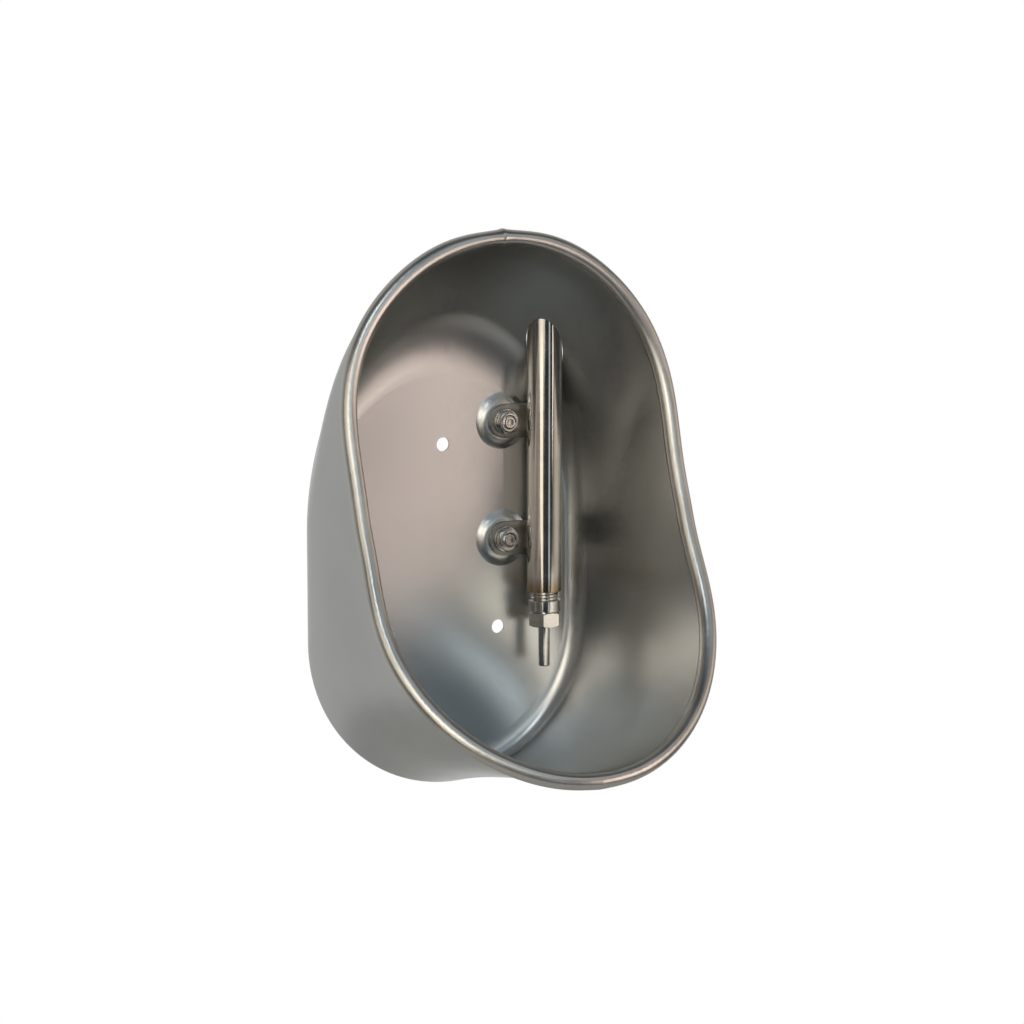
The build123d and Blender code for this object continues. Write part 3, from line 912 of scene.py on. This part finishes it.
def make_bolt():
    bolt = bmesh.new()
    low, high = wind_thread(
        bolt, M8_ROOT, M8_CREST, M8_PITCH, THREAD_FROM, BOLT_TIP - BOLT_LEAD
    )
    head = (
        (0.5, BOLT_HEAD_BACK),
        (7.3, BOLT_HEAD_BACK),
        (7.8, BOLT_HEAD_BACK + 0.25),
        (8.0, BOLT_HEAD_BACK + 0.7),
        (8.0, BOLT_SEAT),
        (M8_CREST, BOLT_SEAT),
        (M8_CREST, THREAD_FROM - 0.5),
        (M8_ROOT - 0.1, THREAD_FROM),
    )
    tip = ((3.15, BOLT_TIP), (2.35, BOLT_TIP), (2.05, BOLT_TIP - 0.35), (0.5, BOLT_TIP - 0.6))
    head_rings = [round_ring(bolt, radius, height) for radius, height in head]
    tip_rings = [round_ring(bolt, radius, height) for radius, height in tip]
    bridge(bolt, *head_rings, low)
    bridge(bolt, high, *tip_rings)
    close_ring(bolt, head_rings[0], BOLT_HEAD_BACK)
    close_ring(bolt, tip_rings[-1], BOLT_TIP - 0.65)
    return bolt


for name, (height, turn) in BOSSES.items():
    add_piece(
        name + "_bolt_forged", make_bolt(), on_boss(height, 0, turn), tumbled_steel,
        "bowl", name + "_bolt",
    )
    add_piece(
        name + "_washer_punched", make_washer(), on_boss(height, LUG_FRONT), tumbled_steel,
        "bowl", name + "_washer",
    )
    add_piece(
        name + "_nut_crowned", make_nut(), on_boss(height, LUG_FRONT + WASHER_THICK, turn),
        tumbled_steel, "bowl", name + "_nut",
    )

# %% [markdown]
# ## The lugs
# Each lug is cut from plate and holds the pipe off the wall. Its outline is a circle
# whose right half is drawn out to a straight end. The plate is then extruded, and its
# edges get the small rounding that deburring leaves and that catches a line of light.

# %% Lugs
LUG_BACK, LUG_THICK, LUG_HALF_HEIGHT, LUG_LENGTH = 4.5, 2.0, 10.3, 27.9
LUG_HOLE_RADIUS, LUG_EDGE = 4.3, 0.3
SQUARE_EDGE = math.radians(60)
LEVEL = 1e-4


def make_lug():
    lug = bmesh.new()
    hole = round_ring(lug, LUG_HOLE_RADIUS, 0)
    outline = round_ring(lug, LUG_HALF_HEIGHT, 0)
    for corner in corners_of(outline):
        if corner.co.x > LEVEL:
            corner.co.x = LUG_LENGTH
    bridge(lug, hole, outline)
    plate = bmesh.ops.extrude_face_region(lug, geom=lug.faces[:])
    raised = [part for part in plate["geom"] if isinstance(part, bmesh.types.BMVert)]
    bmesh.ops.translate(lug, verts=raised, vec=(0, 0, LUG_THICK))
    bmesh.ops.recalc_face_normals(lug, faces=lug.faces)
    rims = [edge for edge in lug.edges if edge.calc_face_angle(0.0) > SQUARE_EDGE]
    flat_rims = [
        edge for edge in rims if abs(edge.verts[0].co.z - edge.verts[1].co.z) < LEVEL
    ]
    bmesh.ops.bevel(
        lug,
        geom=flat_rims,
        offset=LUG_EDGE,
        affect="EDGES",
        segments=2,
        profile=0.5,
        material=-1,
    )
    return lug


for name, (height, _) in BOSSES.items():
    add_piece(
        name + "_lug_deburred", make_lug(), on_boss(height, LUG_BACK), pickled_plate, "bowl",
        name + "_lug",
    )

# %% [markdown]
# ## Welds
# A hand-laid bead looks like a row of coins that lean on each other, because the metal
# freezes in steps as the torch moves on. A bead is therefore a row of rings whose radius
# grows slowly and drops quickly at every step. Drawn as a bump it would be flat from the
# side, so it is real shape. The rim's butt weld has been dressed, so it is only a low,
# slightly uneven band.

# %% Weld beads
COIN_PITCH, COIN_RINGS = 1.2, 4
BEAD_HALF_LENGTH, BEAD_RADIUS, BEAD_STEPS = 9.0, 2.1, 24
COIN_LOW, COIN_GROWTH = 0.9, 0.12
# the bead fills up over its first sixth and runs out over its last
END_SHARE, END_LEAST = 6, 0.06
BEAD_LEFT_OF_PIPE, BEAD_IN_FRONT = 5.9, 1.7


def make_bead():
    bead = bmesh.new()
    count = int(2 * BEAD_HALF_LENGTH / COIN_PITCH) * COIN_RINGS
    rings = []
    for step in range(count + 1):
        along = step / count
        coin = (step % COIN_RINGS) / COIN_RINGS
        end = min(1.0, END_SHARE * along, END_SHARE * (1 - along))
        fill = math.sqrt(max(end, END_LEAST))
        radius = BEAD_RADIUS * (COIN_LOW + COIN_GROWTH * coin) * fill
        height = BEAD_HALF_LENGTH * (2 * along - 1)
        rings.append(round_ring(bead, radius, height, BEAD_STEPS))
    bridge(bead, *rings)
    close_ring(bead, rings[0], -BEAD_HALF_LENGTH)
    close_ring(bead, rings[-1], BEAD_HALF_LENGTH)
    return bead


for name, (height, _) in BOSSES.items():
    corner = Matrix.Translation(
        mm(PIPE_X - BEAD_LEFT_OF_PIPE, -LUG_FRONT - BEAD_IN_FRONT, height)
    )
    add_piece(
        name + "_lug_weld_bead", make_bead(), corner, weld_metal, "bowl",
        name + "_lug_weld",
    )

# %% Rim weld
RIM_RADIUS, WELD_HALF, BAND_CORE = 5.0, 1.2, 0.5
UNEVEN, SOFTEN = 0.006, 0.4
weld_low, weld_high = (Vector(corner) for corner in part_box("rim_weld"))
weld_middle = (weld_low + weld_high) / 2
band = bmesh.new()
# how far the band stands proud, at each place across it
proud = ((-WELD_HALF, 0.0), (-1.0, 0.04), (-0.5, 0.11), (0.0, 0.14), (0.5, 0.11), (1.0, 0.04),
         (WELD_HALF, 0.0))
uneven = random.Random(11)
band_rings = [round_ring(band, RIM_RADIUS + rise, across) for across, rise in proud]
for corner in band.verts:
    if abs(corner.co.z) < WELD_HALF - 0.1:
        corner.co.xy *= 1 + uneven.uniform(-UNEVEN, UNEVEN)
bmesh.ops.smooth_vert(
    band, verts=band.verts, factor=SOFTEN, use_axis_x=True, use_axis_y=True
)
bridge(band, *band_rings)
ends = [round_ring(band, BAND_CORE, side) for side in (-WELD_HALF, WELD_HALF)]
bridge(band, ends[0], band_rings[0])
bridge(band, band_rings[-1], ends[1])
close_ring(band, ends[0], -WELD_HALF)
close_ring(band, ends[1], WELD_HALF)
along_rim = Matrix.Translation(weld_middle) @ Matrix.Rotation(math.radians(90), 4, "Y")
add_piece(
    "rim_weld_dressed", band, along_rim, satin_bar, "bowl",
    "rim_weld",
)

# %% [markdown]
# ## The studio
# Bare metal has hardly any colour of its own: it shows the room. So the room is designed
# as the bowl's mirror. Large soft lamps stand where the bowl's faces look, a warm one to
# the right, a wide one to the left and cool ones above, and between them the room
# stays dark grey, which gives the tube its dark stripes. A lamp's power follows from its
# size, so that each one has a plain brightness that reads as it is written.

# %% Lamps
LAMP_DISTANCE = 2.6


def softbox(name, azimuth, elevation, width, height, radiance, colour):
    """An area lamp: its power is what a panel of this brightness sends out."""
    angle, rise = math.radians(azimuth), math.radians(elevation)
    away = looking_from(angle, rise)
    lamp = bpy.data.lights.new(name, "AREA")
    lamp.shape = "RECTANGLE"
    lamp.size = width
    lamp.size_y = height
    lamp.energy = radiance * math.pi * width * height
    lamp.color = linear(colour)[:3]
    holder = bpy.data.objects.new(name, lamp)
    holder.location = aim + away * LAMP_DISTANCE
    holder.rotation_euler = away.to_track_quat("Z", "Y").to_euler()
    holder.visible_camera = False
    bpy.context.scene.collection.objects.link(holder)


softbox("window", -52, 12, 2.7, 1.65, 1.0, "#FFF6E6")
softbox("window_strip", -47, -13, 0.95, 0.8, 1.45, "#FFF5E2")
softbox("front_panel", -29, 12, 1.1, 0.95, 2.2, "#FFF6EC")
softbox("warm_key", 43, -6, 1.6, 1.3, 1.9, "#FFE9DE")
softbox("cool_panel", -2, 19, 1.1, 0.75, 1.2, "#ECFAFF")
softbox("cool_strip", 5, -10, 0.4, 0.9, 0.75, "#E2F4FF")
softbox("skylight", -31, 41, 0.6, 0.55, 4.2, "#EEF8FF")
softbox("sky", -15, 52, 2.4, 1.2, 0.3, "#C8E6FF")
softbox("sky_right", 35, 35, 1.95, 1.4, 0.45, "#F4FAFF")
softbox("side_fill", 75, 8, 1.4, 1.4, 0.8, "#FFECDA")
print(len(bpy.data.lights), "lamps at", LAMP_DISTANCE, "m")

# %% [markdown]
# ## The room and the floor
# The world is a grey room, darker in front and paler behind, so that the outside of the
# bowl reads as pale satin. Straight behind the bowl hangs a white card, which is the
# background. It is a small spot of the world's own colour, so it adds only a little light,
# and only from behind. Seen from the side, the grey of the room is the background. The
# pale floor lies well below, since the bowl hangs on a wall.

# %% Room
CARD_HALF_ANGLE = math.radians(15)
CARD_SOFT_EDGE = 0.02
PALE_FROM, PALE_BY = -0.1, 0.6
world = bpy.data.worlds.new("studio_room")
bpy.context.scene.world = world
world.use_nodes = True
room = world.node_tree
room.nodes.clear()
direction = add(room, "ShaderNodeTexCoord", {}).outputs["Generated"]
behind = add(
    room, "ShaderNodeVectorMath", {0: direction, 1: -toward_camera}, operation="DOT_PRODUCT"
)
card_edge = math.cos(CARD_HALF_ANGLE)
card = add(
    room,
    "ShaderNodeMapRange",
    {"Value": behind, "From Min": card_edge - CARD_SOFT_EDGE, "From Max": card_edge},
)
depth = add(room, "ShaderNodeSeparateXYZ", {"Vector": direction}).outputs["Y"]
rearward = add(
    room, "ShaderNodeMapRange", {"Value": depth, "From Min": PALE_FROM, "From Max": PALE_BY}
)
walls = add(
    room,
    "ShaderNodeMix",
    {"Factor": rearward, "A": linear("#38393A"), "B": linear("#BCBCBA")},
    data_type="RGBA",
)
backdrop = add(
    room, "ShaderNodeMix", {"Factor": card, "A": walls, "B": linear("#FFFFFF")}, data_type="RGBA"
)
glow = add(room, "ShaderNodeBackground", {"Color": backdrop, "Strength": 1.0})
add(room, "ShaderNodeOutputWorld", {"Surface": glow})
print("the white card spans", round(2 * math.degrees(CARD_HALF_ANGLE)), "degrees")

# %% Floor
FLOOR_RADIUS, FLOOR_DEPTH, FLOOR_Z, FLOOR_STEPS = 700.0, 90.0, -550.0, 128
floor_mesh = bmesh.new()
bmesh.ops.create_circle(
    floor_mesh,
    cap_ends=True,
    segments=FLOOR_STEPS,
    radius=FLOOR_RADIUS * MM,
    matrix=Matrix.Translation(mm(0, -FLOOR_DEPTH, FLOOR_Z)),
)
floor_data = bpy.data.meshes.new("floor")
floor_mesh.to_mesh(floor_data)
floor_mesh.free()
floor = bpy.data.objects.new("floor", floor_data)
bpy.context.scene.collection.objects.link(floor)
paint, tree, place = new_material("pale_floor_paint")
# a roller leaves a stipple of about 4 mm
roller = add(tree, "ShaderNodeTexNoise", {"Vector": place, "Scale": per(4), "Detail": 2.0})
spread = add(tree, "ShaderNodeMapRange", {"Value": roller, **NOISE_BAND})
colour = add(
    tree,
    "ShaderNodeMix",
    {"Factor": spread, "A": linear("#E3E3E1"), "B": linear("#E9E9E7")},
    data_type="RGBA",
)
stipple = add(
    tree, "ShaderNodeBump", {"Height": roller, "Strength": 1.0, "Distance": 0.05 * MM}
)
shader = add(
    tree,
    "ShaderNodeBsdfPrincipled",
    {"Base Color": colour, "Roughness": 0.7, "Normal": stipple},
)
add(tree, "ShaderNodeOutputMaterial", {"Surface": shader})
floor_data.materials.append(paint)
print("floor at Z", FLOOR_Z, "mm")
